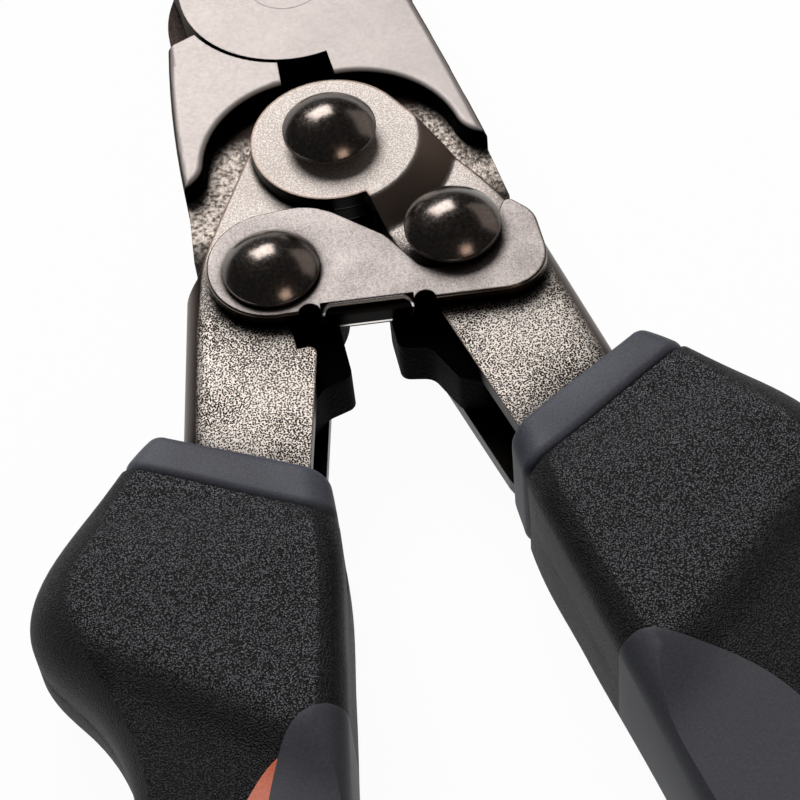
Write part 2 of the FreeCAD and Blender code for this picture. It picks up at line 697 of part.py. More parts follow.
# ---------------------------------------------------------------- return spring
def return_spring():
    """A torsion spring round the bush, its two legs between the tails."""
    wire = mm("wire") / 2
    radius = mm("coil")
    lean = 12.0
    turns = mm("coil_turns") + 2 * lean / 360.0
    height = 2 * mm("tail_half") - 2 * wire - 0.3
    helix = Part.makeHelix(height / turns, height, radius)
    section = Part.Wire(Part.makeCircle(wire, Vector(radius, 0, 0), Vector(0, 1, 0)))
    coil = Part.Wire(helix).makePipeShell([section], True, True)
    coil.rotate(pivot, UP, -lean)
    coil.translate(Vector(0, 0, -height / 2))
    shape = coil
    for sign, level in ((1, -height / 2), (-1, height / 2)):
        x, y = polar(pivot, radius, -lean)
        foot = Vector(sign * x, y, level)
        run = Vector(-sign * math.sin(math.radians(lean)), -math.cos(math.radians(lean)), 0)
        length = (mm("leg_drop") + foot.y) / math.cos(math.radians(lean))
        leg = Part.makeCylinder(wire, length, foot, run)
        shape = shape.fuse(leg).fuse(Part.makeSphere(wire, foot))
    add("return_spring", shape)


# ---------------------------------------------------------------- grips
def grip_section(along, inner, outer, half, inner_round, outer_round):
    """A box-like cross-section with rounded corners, at one station down the handle."""
    bow = max(0.0, along / mm("grip_length") - 0.47)
    shift = -0.14 * mm("grip_length") * bow ** 2
    sides = [(-inner + shift, inner_round, -1), (outer + shift, outer_round, 1)]
    edges = []
    ends = []
    for side, radius, sign in sides:
        for level in (-sign, sign):
            corner = (side, level * half)
            middle = (side - sign * radius, level * (half - radius))
            across = on_handle(along, side, middle[1])
            flat = on_handle(along, middle[0], corner[1])
            slant = radius * math.sqrt(0.5)
            bend = on_handle(along, middle[0] + sign * slant, middle[1] + level * slant)
            first, last = (across, flat) if level == sign else (flat, across)
            edges.append(Part.Arc(first, bend, last).toShape())
            ends.append((first, last))
    links = [Part.LineSegment(ends[index][1], ends[(index + 1) % 4][0]).toShape()
             for index in range(4)]
    return Part.Wire([edge for pair in zip(edges, links) for edge in pair])


def grip_envelope():
    """The outer form of collar, body and insert together, with its hand guard."""
    guard = mm("guard_reach")
    place = mm("guard_place")
    outer = mm("grip_outer")
    inner = mm("grip_inner")
    half = mm("grip_half")
    collar = mm("collar_half")
    top = mm("collar_top")
    end = mm("grip_length")
    stations = [(top - 5.0, inner - 4.2, outer - 4.4, collar - 1.2, 2.6, 2.6),
                (top - 0.6, inner - 3.2, outer + 0.6, collar - 0.4, 2.8, 2.8),
                (top + 2.2, inner - 2.2, outer + 2.6, collar, 3.0, 3.0),
                (top + 5.8, inner - 1.2, guard - 7.8, collar + 0.5, 3.2, 4.0),
                (place - 8.7, inner - 0.3, guard - 3.5, half - 0.7, 3.4, 5.4),
                (place - 4.0, inner, guard - 1.0, half, 3.4, 6.6),
                (place + 1.2, inner, guard - 0.3, half, 3.4, 7.2),
                (place + 7.9, inner, guard - 4.9, half, 3.6, 7.2),
                (place + 13.7, inner, outer + 3.6, half, 4.0, 6.8),
                (place + 22.0, inner, outer + 0.8, half, 4.6, 6.2),
                (0.50 * end, inner + 0.3, outer, half - 0.3, 5.0, 6.0),
                (0.66 * end, inner + 0.6, outer, half - 0.4, 5.0, 6.0),
                (0.86 * end, inner + 0.6, outer + 0.4, half - 0.4, 5.0, 6.0),
                (0.95 * end, inner - 0.4, outer - 0.8, half - 0.9, 5.0, 6.0),
                (end, inner - 3.2, outer - 3.8, half - 3.2, 4.4, 5.0)]
    form = Part.makeLoft([grip_section(*station) for station in stations], True, False)
    for valley in (waist(), waist().mirror(pivot, UP)):
        form = form.cut(valley)
    return form


def waist():
    """What is taken off the front below the slanted crease of the hand guard."""
    half = mm("grip_half")
    low = mm("waist_half")
    drop = half - low
    start = on_handle(mm("guard_place") + 1.8, mm("guard_reach") - 4.4)
    finish = on_handle(mm("guard_place") + 15.2, -4.0)
    along = finish - start
    along.normalize()
    away = along.cross(UP)
    if away.dot(down_handle) < 0:
        away = -away
    curve = Part.BSplineCurve()
    profile = [(-1.5, half + 0.02), (1.2, half - 0.22 * drop), (4.6, low + 0.2 * drop),
               (9.5, low), (24.0, low + 0.35 * drop), (52.0, half + 0.02)]
    points = [start + away * reach + Vector(0, 0, level) for reach, level in profile]
    curve.interpolate(points)
    top = Vector(0, 0, half)
    lid = Part.makePolygon([points[-1], points[-1] + top, points[0] + top, points[0]])
    face = Part.Face(Part.Wire([curve.toShape()] + lid.Edges))
    face.translate(along * -60.0)
    return face.extrude(along * 140.0)


def zone(points, last_curve=None):
    """A prism over an area given along and across the handle, one side curved if asked."""
    deep = Vector(0, 0, -30)
    corners = [on_handle(along, across) + deep for along, across in points]
    if last_curve is None:
        edges = Part.makePolygon(corners + corners[:1]).Edges
    else:
        curve = Part.BSplineCurve()
        curve.interpolate([on_handle(along, across) + deep for along, across in last_curve])
        first = curve.StartPoint
        last = curve.EndPoint
        edges = Part.makePolygon([last] + corners + [first]).Edges + [curve.toShape()]
    return Part.Face(Part.Wire(edges)).extrude(Vector(0, 0, 60))


def tang_envelope(extra):
    """The outside of the channel's tang, made larger all round by extra."""
    top = -mm("handle_y")
    neck = -mm("neck_drop")
    inset = mm("right_back_inset")
    half = mm("tang_half") + extra
    start = mm("tang_start") + 0.5 * extra
    end = mm("tang_length") + extra
    corners = [Vector(web_x(top) + extra, top, 0), Vector(web_x(neck) + extra, neck, 0),
               on_handle(start, half), on_handle(end, half), on_handle(end, -half),
               on_handle(start, -half), Vector(inner_x(neck, inset) - extra, neck, 0),
               Vector(inner_x(top, inset) - extra, top, 0), Vector(web_x(top) + extra, top, 0)]
    level = flange_top + extra
    return plate(Part.makePolygon(corners), -level, level)


def below(outer_end, fall):
    """The zone below a slanted line, from its outer end on the grip to its lower inner end."""
    far = 3.0 * mm("grip_length")
    reach = mm("guard_reach") + 6.0
    across = mm("grip_outer") + 2.0
    lower = outer_end - (reach - across) * fall
    upper = outer_end + (across + reach) * fall
    return zone([(lower, reach), (upper, -reach), (far, -reach), (far, reach)])


def insert_line(side):
    """Outer side of the smooth insert, from its top inner corner down to its foot."""
    top = mm("insert_top")
    edge = mm(side + "_insert_side")
    end = mm("grip_length")
    return [(top, -mm("grip_inner") + 1.2), (top + 0.5, -6.4), (top + 1.9, -4.4),
            (top + 5.0, 0.45 * edge - 2.2), (top + 12.0, edge), (0.62 * end, edge),
            (0.88 * end, edge - 3.0), (0.93 * end, edge - 8.0)]


def grip_pieces(side):
    """Collar, body, core and insert of one grip, drawn on the right."""
    envelope = grip_envelope()
    end = mm("grip_length")
    fall = mm("collar_fall")
    tang = tang_envelope(0.06)
    sleeve = tang_envelope(mm("core_wall"))
    top = mm("collar_top") - 2.4
    below_collar = below(top + mm("collar_width"), fall)
    collar = envelope.common(below(top, fall)).cut(below_collar)
    end_face = max(collar.Faces, key=lambda face: face.CenterOfMass.y)
    collar = collar.makeFillet(mm("collar_round"), end_face.Edges).cut(tang)
    grip = envelope.common(below_collar)
    half = mm("core_half")
    sleeve_top = mm("tang_start") + 1.0
    sleeve_end = mm("tang_length") + 12.0
    inner_core = sleeve.common(zone([(sleeve_top, -14), (sleeve_top, 14), (sleeve_end, 14),
                                     (sleeve_end, -14)]))
    inner_core = inner_core.common(Part.makeBox(600, 600, 2 * half, Vector(-300, -400, -half)))
    line = insert_line(side)
    foot = line[-1][0]
    insert_zone = zone([(foot, -30), (mm("insert_top"), -30)], line)
    stripe = mm("stripe")
    start = mm(side + "_stripe_top")
    edge = mm(side + "_insert_side")
    wedge = zone([(0.97 * end, -30), (foot - 30, -30)],
                 [(start - 1.5, edge - 3.2), (start, edge - 0.6), (start + 4.2, edge + 0.38 * stripe),
                  (start + 11.0, edge + stripe), (0.5 * start + 0.33 * end + 5.5, edge + stripe),
                  (0.66 * end, edge + stripe),
                  (0.89 * end, edge - 3.0 + stripe), (0.97 * end, edge - 8.0)])
    insert = grip.common(insert_zone).cut(inner_core).cut(tang)
    core = inner_core.fuse(grip.common(wedge.cut(insert_zone))).cut(tang)
    body = grip.cut(insert_zone).cut(wedge).cut(inner_core).cut(tang)
    return {"grip_collar": collar, "grip_body": body, "grip_core": core, "grip_insert": insert}


def grips():
    for name, shape in grip_pieces("right").items():
        add("right_" + name, shape)
    for name, shape in grip_pieces("left").items():
        add("left_" + name, shape.mirror(pivot, Vector(1, 0, 0)))


front_jaw()
rear_jaw()
jaw_rivet()
handles()
rivets()
caps()
latch_plate()
return_spring()
grips()
doc.recompute()

for item in doc.Objects:
    bad = [state for state in item.State if state in ("Invalid", "Error")]
    if bad:
        raise RuntimeError("%s is %s" % (item.Label, bad))
os.makedirs("parts", exist_ok=True)
for node in nodes:
    shape = node.Shape
    if shape.isNull() or not shape.isValid():
        raise RuntimeError("%s has no valid shape" % node.Label)
    shape.exportStep("parts/%s.step" % node.Label)
    print("%-24s %2d solids %9.1f mm3" % (node.Label, len(shape.Solids), shape.Volume))
print("%d nodes" % len(nodes))
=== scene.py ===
# %% [markdown]
# # A compound cable cutter
#
# Two forged jaws share a lap joint. Each jaw has a tail that is riveted into a folded steel
# handle, and the two handles are riveted to each other behind the jaws. Squeezing the grips
# pulls the tails together with a long lever. A small stamped latch holds the tool closed.
# The CAD model gives every solid at its real place and size. This script dresses it.

# %% Load the frame
import math

import bpy
from mathutils import Matrix, Vector


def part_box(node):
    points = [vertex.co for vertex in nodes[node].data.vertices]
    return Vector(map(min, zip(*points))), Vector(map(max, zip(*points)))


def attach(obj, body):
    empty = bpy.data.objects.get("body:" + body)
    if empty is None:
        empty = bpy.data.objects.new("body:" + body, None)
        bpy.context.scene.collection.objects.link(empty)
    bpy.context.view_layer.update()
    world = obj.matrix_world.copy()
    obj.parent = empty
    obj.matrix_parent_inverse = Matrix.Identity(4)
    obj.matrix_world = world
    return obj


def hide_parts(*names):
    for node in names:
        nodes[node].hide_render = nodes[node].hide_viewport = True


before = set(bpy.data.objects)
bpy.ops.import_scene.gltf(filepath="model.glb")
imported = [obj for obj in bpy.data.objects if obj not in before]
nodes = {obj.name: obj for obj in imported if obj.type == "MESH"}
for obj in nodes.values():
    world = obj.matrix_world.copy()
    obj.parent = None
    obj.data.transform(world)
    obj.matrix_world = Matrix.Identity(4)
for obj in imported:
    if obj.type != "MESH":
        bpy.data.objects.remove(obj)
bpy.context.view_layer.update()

bpy.ops.object.select_all(action="DESELECT")
print("CAD nodes:", len(nodes))

# %% [markdown]
# ## Camera
#
# The tool is seen from above and in front of its grips, through a long lens, with a slight
# roll. The view is close: it shows the latch, the rivets and the tops of both grips.
# The camera could be dragged into place by hand. Here it is worked out from a target point, two
# angles, a roll and a distance, because those are easy to read and to change one at a time.

# %% Camera
MM = 0.001
PER_MM = 1 / MM                        # a pattern's scale counts its features per metre
MIDDLE = 10.0 * MM                     # height of the tool's middle plane
azimuth, elevation, roll = (math.radians(a) for a in (-7.23, 53.29, -6.75))
target = Vector((0.18 * MM, -34.8 * MM, MIDDLE))
distance = 283.4 * MM
forward = Vector((-math.sin(azimuth) * math.cos(elevation),
                  math.cos(azimuth) * math.cos(elevation), -math.sin(elevation)))
level_right = Vector((math.cos(azimuth), math.sin(azimuth), 0))
level_up = level_right.cross(forward)
right = level_right * math.cos(roll) + level_up * math.sin(roll)
up = level_up * math.cos(roll) - level_right * math.sin(roll)

lens = bpy.data.cameras.new("camera")
lens.sensor_width = 36.0
lens.lens = 112.6
lens.clip_start = 0.01
camera = bpy.data.objects.new("camera", lens)
bpy.context.collection.objects.link(camera)
turn = Matrix((right, up, -forward)).transposed()
camera.matrix_world = Matrix.Translation(target - forward * distance) @ turn.to_4x4()
bpy.context.scene.camera = camera
bpy.context.scene.view_settings.view_transform = "Standard"
print("camera at", [round(c, 4) for c in camera.location])

# %% [markdown]
# ## Colours and nodes
#
# A hex code says how a colour looks on a screen, while Blender mixes light, so one function
# turns the codes to linear values. Nodes could be added by hand in the Shader Editor. Adding
# them from code, with one small function, keeps each finish readable from top to bottom.

# %% Colours and nodes
def to_linear(code):
    """An sRGB hex colour as linear red, green, blue and alpha."""
    parts = [int(code[i:i + 2], 16) / 255 for i in (1, 3, 5)]
    return tuple(p / 12.92 if p <= 0.04045 else ((p + 0.055) / 1.055) ** 2.4 for p in parts) + (1,)


def place(tree, kind, links=None, **settings):
    """Add a node. Settings name its properties or sockets, links say what feeds its sockets."""
    node = tree.nodes.new(kind)
    for key, value in settings.items():
        if key in node.bl_rna.properties:
            setattr(node, key, value)
        elif key[0] == "i" and key[1:].isdigit():
            node.inputs[int(key[1:])].default_value = value
        else:
            node.inputs[key.replace("_", " ")].default_value = value
    for key, source in (links or {}).items():
        tree.links.new(source, node.inputs[key])
    return node


print("mid grey in linear light:", round(to_linear("#808080")[0], 3))

# %% [markdown]
# ## Paper and room
#
# The background is white paper. Its material shows white to the camera and to polished metal,
# and the small share that is lit keeps a faint shadow of the tool. The room is dim, so that the
# lamps alone shape the steel: a bright room would wash the dark domes out.

# %% Paper and room
ROOM_LIGHT = 0.06
PAPER_WIDTH = 6.0
SHOWN_WHITE = 0.96                     # share of the paper that shows plain white

world = bpy.data.worlds.new("studio")
bpy.context.scene.world = world
world.use_nodes = True
sky = world.node_tree.nodes["Background"]
sky.inputs["Color"].default_value = to_linear("#FFFFFF")
sky.inputs["Strength"].default_value = ROOM_LIGHT

bpy.ops.mesh.primitive_plane_add(size=PAPER_WIDTH, location=(0, 0, 0))
floor = bpy.context.object
floor.name = "paper_floor"
paper = bpy.data.materials.new("white paper")
paper.use_nodes = True
tree = paper.node_tree
lit = tree.nodes["Principled BSDF"]
lit.inputs["Base Color"].default_value = to_linear("#F2F2F2")
lit.inputs["Roughness"].default_value = 0.9
path = place(tree, "ShaderNodeLightPath")
seen = place(tree, "ShaderNodeMath", {0: path.outputs["Is Camera Ray"],
                                      1: path.outputs["Is Glossy Ray"]}, operation="MAXIMUM")
seen = place(tree, "ShaderNodeMath", {0: seen.outputs[0], 1: path.outputs["Is Transmission Ray"]},
             operation="MAXIMUM")
share = place(tree, "ShaderNodeMath", {0: seen.outputs[0]}, operation="MULTIPLY", i1=SHOWN_WHITE)
glow = place(tree, "ShaderNodeEmission", Color=to_linear("#FFFFFF"), Strength=1.0)
blend = place(tree, "ShaderNodeMixShader", {"Fac": share.outputs[0], 1: lit.outputs[0],
                                            2: glow.outputs[0]})
tree.links.new(blend.outputs[0], tree.nodes["Material Output"].inputs["Surface"])
floor.data.materials.append(paper)
print("paper:", len(tree.nodes), "nodes")

# %% [markdown]
# ## Lamps
#
# One softbox stands behind the tool, where level steel mirrors it, so the ground faces shine
# and each rivet head carries its highlight. A small warm lamp in front gives the heads their
# second highlight, and a card on the right lifts their side. Each lamp is turned to a point,
# which is easier to judge than three angles.

# %% Lamps
def lamp(name, position, aim, size, watts, colour):
    """A rectangular soft lamp that faces its aim."""
    bpy.ops.object.light_add(type="AREA", location=position)
    lamp_object = bpy.context.object
    lamp_object.name = name
    lamp_object.data.shape = "RECTANGLE"
    lamp_object.data.size, lamp_object.data.size_y = size
    lamp_object.data.energy = watts
    lamp_object.data.color = to_linear(colour)[:3]
    facing = Vector(aim) - Vector(position)
    lamp_object.rotation_euler = facing.to_track_quat("-Z", "Y").to_euler()


lamp("softbox", (-0.10, 0.55, 0.59), (0, -0.02, 0), (0.52, 0.44), 6.4, "#FFFDFC")
lamp("warm", (0.20, -0.58, 0.50), (0, 0, 0), (0.24, 0.18), 0.55, "#FFE4D2")
lamp("side_card", (0.66, 0.26, 0.30), (0, 0, 0.01), (0.60, 0.45), 0.60, "#FFF4EE")

# %% [markdown]
# ## How the finishes are built
#
# Every finish reads Object coordinates, which are metres here, so a pattern's scale is given as
# a number of features per millimetre times PER_MM. Four things tell one zone of a solid from
# another: where it is, how far it lies from the middle plane, whether it faces away from the
# middle line, and how level it is. On steel, a Bevel node rounds the look of the sharp edges by
# a fraction of a millimetre, as tumbling does to real parts.

# %% Zones
def finish(name):
    """A new material, its tree and shader, and the Texture Coordinate node that it reads."""
    material = bpy.data.materials.new(name)
    material.use_nodes = True
    tree = material.node_tree
    coordinates = place(tree, "ShaderNodeTexCoord")
    return material, tree, tree.nodes["Principled BSDF"], coordinates


def place_in_solid(tree, coordinates):
    """Where a point is: its X, Y and Z, and how far it lies from the middle plane."""
    spot = place(tree, "ShaderNodeSeparateXYZ", {0: coordinates.outputs["Object"]})
    off_middle = place(tree, "ShaderNodeMath", {0: spot.outputs["Z"]}, operation="SUBTRACT",
                       i1=MIDDLE)
    off_middle = place(tree, "ShaderNodeMath", {0: off_middle.outputs[0]}, operation="ABSOLUTE")
    return spot.outputs, off_middle.outputs[0]


def way_it_faces(tree, coordinates):
    """How the surface faces: the parts of its normal, and how level it is, from 0 to 1."""
    normal = place(tree, "ShaderNodeSeparateXYZ", {0: coordinates.outputs["Normal"]})
    level = place(tree, "ShaderNodeMath", {0: normal.outputs["Z"]}, operation="ABSOLUTE")
    return normal.outputs, level.outputs[0]


print("middle plane at", round(MIDDLE / MM, 1), "mm")

# %% [markdown]
# Three more helpers end a finish. One paints shade onto steel where other parts crowd it, one
# feeds the results into the shader, and one gives the material to the CAD solids that wear it.

# %% Painted shade and dressing
def with_painted_shade(tree, colour, crowd, low, high):
    """The colour, with black painted shade where the node crowd finds other parts close by."""
    clear = place(tree, "ShaderNodeMapRange", {"Value": crowd.outputs["AO"]}, From_Min=low,
                  From_Max=high, interpolation_type="SMOOTHSTEP")
    # black painted shade, darkest where the Ambient Occlusion value is low
    return place(tree, "ShaderNodeMix", {0: clear.outputs[0], 7: colour.outputs[2]},
                 data_type="RGBA", i6=to_linear("#0A0807"))


def drive(tree, shader, **sources):
    """Feed sockets of the shader, written with _ for each space, from these outputs."""
    for key, source in sources.items():
        tree.links.new(source, shader.inputs[key.replace("_", " ")])


def dress(material, *names):
    """Give CAD nodes this material in place of their plain one."""
    for name in names:
        slots = nodes[name].data.materials
        slots.clear()
        slots.append(material)


SIDES = ("left", "right")
print("sides:", SIDES)

# %% [markdown]
# ## Handles: nickel washed steel, shot blasted
#
# The arms are 2 mm sheet, folded, shot blasted and thinly plated. The plating catches on the
# peaks, so the level faces are a warm white peppered with dark pits. The cone of the neck and
# the web are smooth and painted brown as shade, darker lower down. The sheared edges and the
# inside of the channel are painted black as shade. Each of these could be a material of its own
# on hand-picked faces. Masks are used instead, because they blend over the bends as shade does.
# First come the masks.

# %% Pressed steel: zones
ARM_TOP, NECK_FOOT = -22 * MM, -12 * MM      # between them the arm's finish turns to the neck's
WEB_REACH = (9 * MM, 11 * MM)                # how far out a face that looks outwards is the web
CONE_FOOT, CONE_TOP = 14.5 * MM, 19.5 * MM   # heights over which the painted shade on cone and web lightens upwards
pressed, tree, shader, coordinates = finish("nickel washed pressed steel, shot blasted")
spot, off_middle = place_in_solid(tree, coordinates)
normal, level = way_it_faces(tree, coordinates)
neck = place(tree, "ShaderNodeMapRange", {"Value": spot["Y"]}, From_Min=ARM_TOP,
             From_Max=NECK_FOOT)
outside = place(tree, "ShaderNodeMapRange", {"Value": off_middle}, From_Min=4.0 * MM,
                From_Max=4.8 * MM)
softened = place(tree, "ShaderNodeBevel", samples=8, Radius=0.9 * MM)
softened = place(tree, "ShaderNodeSeparateXYZ", {0: softened.outputs[0]})
softened = place(tree, "ShaderNodeMath", {0: softened.outputs["Z"]}, operation="ABSOLUTE")
stricter = place(tree, "ShaderNodeMath", {0: neck.outputs[0], 2: softened.outputs[0]},
                 operation="MULTIPLY_ADD", i1=-0.12)
flat = place(tree, "ShaderNodeMapRange", {"Value": stricter.outputs[0]}, From_Min=0.80,
             From_Max=0.86, interpolation_type="SMOOTHSTEP")
flat = place(tree, "ShaderNodeMath", {0: flat.outputs[0], 1: outside.outputs[0]},
             operation="MULTIPLY")
slope = place(tree, "ShaderNodeMapRange", {"Value": level}, From_Min=0.35, From_Max=0.6)
slope = place(tree, "ShaderNodeMath", {0: slope.outputs[0], 1: outside.outputs[0]},
              operation="MULTIPLY")
outward = place(tree, "ShaderNodeMath", {0: spot["X"], 1: normal["X"]}, operation="MULTIPLY")
web = place(tree, "ShaderNodeMapRange", {"Value": outward.outputs[0]}, From_Min=WEB_REACH[0],
            From_Max=WEB_REACH[1])
# faces that take the brown painted shade: the outer slopes and the web
shaded_zone = place(tree, "ShaderNodeMath", {0: slope.outputs[0], 1: web.outputs[0]},
              operation="MAXIMUM")
print("pressed steel zones:", len(tree.nodes), "nodes")

# %% [markdown]
# Now the colours. The pits are Voronoi cells about 0.2 mm apart, cut off at a distance that
# drifts over some 10 mm, so the plating is worn through more in one place than in another. On
# the neck the plating is whole, and the pits only tint it.

# %% Pressed steel: colours
PITS, WEAR = 4.8 * PER_MM, 0.095 * PER_MM
pits = place(tree, "ShaderNodeTexVoronoi", {"Vector": coordinates.outputs["Object"]}, Scale=PITS)
patches = place(tree, "ShaderNodeTexNoise", {"Vector": coordinates.outputs["Object"]},
                Scale=WEAR, Detail=2)
worn = place(tree, "ShaderNodeMapRange", {"Value": patches.outputs["Fac"]}, From_Min=0.35,
             From_Max=0.65, To_Min=0.48, To_Max=0.60)
bright = place(tree, "ShaderNodeMath", {0: pits.outputs["Distance"], 1: worn.outputs[0]},
               operation="SUBTRACT")
bright = place(tree, "ShaderNodeMapRange", {"Value": bright.outputs[0]}, From_Min=-0.12,
               From_Max=0.12)
dark = place(tree, "ShaderNodeMix", {0: neck.outputs[0]}, data_type="RGBA",
             i6=to_linear("#1C1511"), i7=to_linear("#A89F98"))
light = place(tree, "ShaderNodeMix", {0: neck.outputs[0]}, data_type="RGBA",
              i6=to_linear("#DAD3CC"), i7=to_linear("#CBC5C1"))
speckled = place(tree, "ShaderNodeMix", {0: bright.outputs[0], 6: dark.outputs[2],
                                         7: light.outputs[2]}, data_type="RGBA")
# painted shade: the colour called oil is brown on the cone and web, darker lower down; other walls
# black
risen = place(tree, "ShaderNodeMapRange", {"Value": spot["Z"]}, From_Min=CONE_FOOT,
              From_Max=CONE_TOP)
oil = place(tree, "ShaderNodeMix", {0: risen.outputs[0]}, data_type="RGBA",
            i6=to_linear("#4A3E37"), i7=to_linear("#7C6E65"))
wall = place(tree, "ShaderNodeMix", {0: shaded_zone.outputs[0], 7: oil.outputs[2]}, data_type="RGBA",
             i6=to_linear("#080706"))
faces = place(tree, "ShaderNodeMix", {0: flat.outputs[0], 6: wall.outputs[2],
                                      7: speckled.outputs[2]}, data_type="RGBA")
print("pressed steel colours:", len(tree.nodes), "nodes")

# %% [markdown]
# Last come painted shade, gloss and relief. Shade is painted black where another part lies close.
# On the arms it reaches some 5 mm from a latch or collar, and on the neck it stays by the rivet
# heads. An Ambient Occlusion node finds such places on its own, where painting them would take
# hours.

# %% Pressed steel: painted shade, gloss and relief
reach = place(tree, "ShaderNodeMapRange", {"Value": spot["Y"]}, From_Min=ARM_TOP,
              From_Max=NECK_FOOT, To_Min=5.5 * MM, To_Max=0.9 * MM)
crowd = place(tree, "ShaderNodeAmbientOcclusion", {"Distance": reach.outputs[0]}, samples=6)
# black painted shade where a latch, collar or rivet head lies close
shaded_colour = with_painted_shade(tree, faces, crowd, 0.62, 0.93)
gloss = place(tree, "ShaderNodeMapRange", {"Value": flat.outputs[0]}, To_Min=0.36, To_Max=0.64)
edges = place(tree, "ShaderNodeBevel", samples=4, Radius=0.35 * MM)
grain = place(tree, "ShaderNodeBump", {"Height": bright.outputs[0], "Normal": edges.outputs[0]},
              Strength=0.25, Distance=0.02 * MM)
drive(tree, shader, Base_Color=shaded_colour.outputs[2], Roughness=gloss.outputs[0],
      Normal=grain.outputs[0])
shader.inputs["Metallic"].default_value = 1.0
dress(pressed, "left_handle_channel", "right_handle_channel")
print("pressed steel:", len(tree.nodes), "nodes")

# %% [markdown]
# ## Jaws: forged steel, ground on its lands
#
# The jaws are drop forged. The lands and discs are ground and satin bright, the recessed floors
# keep the rough grey skin of the forging, and the step walls are painted black as shade. The outer
# edges are dark scale, rubbed by handling. The tails, inside the handles, are painted black as
# shade, and the recessed floors from the rear disc on are painted darker, as shade. Past the discs
# both blades are ground on all their level faces.

# %% Forged steel: zones
LAND = (3.8 * MM, 4.8 * MM)                  # from the middle plane, between floor and land
BLADE_ROOT = (38 * MM, 42 * MM)              # past this both blades are ground
TAIL_TOP = (-12.5 * MM, -7.5 * MM)           # nearer the grips than this the tails are painted black, as shade
SHADED_FROM = (4 * MM, 7 * MM)                # past this the recessed floors are painted darker, as shade
EDGE_REACH = (5 * MM, 10 * MM)               # how far out a wall is an outer edge
forged, tree, shader, coordinates = finish("forged jaw steel, ground lands")
spot, off_middle = place_in_solid(tree, coordinates)
normal, level = way_it_faces(tree, coordinates)
flat = place(tree, "ShaderNodeMapRange", {"Value": level}, From_Min=0.60, From_Max=0.85,
             interpolation_type="SMOOTHSTEP")
# the tails inside the handles take the walls' painted black shade
clear_of_handles = place(tree, "ShaderNodeMapRange", {"Value": spot["Y"]}, From_Min=TAIL_TOP[0],
              From_Max=TAIL_TOP[1])
flat = place(tree, "ShaderNodeMath", {0: flat.outputs[0], 1: clear_of_handles.outputs[0]},
             operation="MULTIPLY")
land = place(tree, "ShaderNodeMapRange", {"Value": off_middle}, From_Min=LAND[0],
             From_Max=LAND[1])
blade = place(tree, "ShaderNodeMapRange", {"Value": spot["Y"]}, From_Min=BLADE_ROOT[0],
              From_Max=BLADE_ROOT[1])
land = place(tree, "ShaderNodeMath", {0: land.outputs[0], 1: blade.outputs[0]},
             operation="MAXIMUM")
# the far recessed floors take a darker painted shade
shaded_zone = place(tree, "ShaderNodeMapRange", {"Value": spot["Y"]}, From_Min=SHADED_FROM[0],
              From_Max=SHADED_FROM[1])
outward = place(tree, "ShaderNodeMath", {0: spot["X"], 1: normal["X"]}, operation="MULTIPLY")
outer = place(tree, "ShaderNodeMapRange", {"Value": outward.outputs[0]}, From_Min=EDGE_REACH[0],
              From_Max=EDGE_REACH[1])
print("forged steel zones:", len(tree.nodes), "nodes")

# %% [markdown]
# The forging's skin is an orange peel with lumps of about half a millimetre. Grinding leaves the
# lands nearly even, with faint clouds some 6 mm wide where the wheel pressed more or less.

# %% Forged steel: colours
PEEL, WHEEL, SCRATCHES = 1.9 * PER_MM, 0.16 * PER_MM, 2.6 * PER_MM
peel = place(tree, "ShaderNodeTexNoise", {"Vector": coordinates.outputs["Object"]}, Scale=PEEL,
             Detail=2, Roughness=0.6)
lit_peel = place(tree, "ShaderNodeMapRange", {"Value": peel.outputs["Fac"]}, From_Min=0.36,
                 From_Max=0.64)
skin = place(tree, "ShaderNodeMix", {0: lit_peel.outputs[0]}, data_type="RGBA",
             i6=to_linear("#3F3936"), i7=to_linear("#A0978F"))
# painted shade: the skin is darker on the far recessed floors
skin = place(tree, "ShaderNodeMix", {0: shaded_zone.outputs[0], 6: skin.outputs[2]}, data_type="RGBA",
             i7=to_linear("#2A2320"))
clouds = place(tree, "ShaderNodeTexNoise", {"Vector": coordinates.outputs["Object"]},
               Scale=WHEEL, Detail=3)
satin = place(tree, "ShaderNodeMix", {0: clouds.outputs["Fac"]}, data_type="RGBA",
              i6=to_linear("#918B88"), i7=to_linear("#A29B98"))
ground = place(tree, "ShaderNodeMix", {0: land.outputs[0], 6: skin.outputs[2],
                                       7: satin.outputs[2]}, data_type="RGBA")
# step walls and tails painted black as shade; outer edges dark scale
wall = place(tree, "ShaderNodeMix", {0: outer.outputs[0]}, data_type="RGBA",
             i6=to_linear("#050404"), i7=to_linear("#4A423D"))
faces = place(tree, "ShaderNodeMix", {0: flat.outputs[0], 6: wall.outputs[2],
                                      7: ground.outputs[2]}, data_type="RGBA")
print("forged steel colours:", len(tree.nodes), "nodes")

# %% [markdown]
# The skin is rough in shape and in gloss, so the peel also drives the relief. On the lands the
# same relief is nearly nil, and scratches vary the gloss. They are drawn about 0.4 mm apart,
# coarser than real ones, which would be too fine to show.

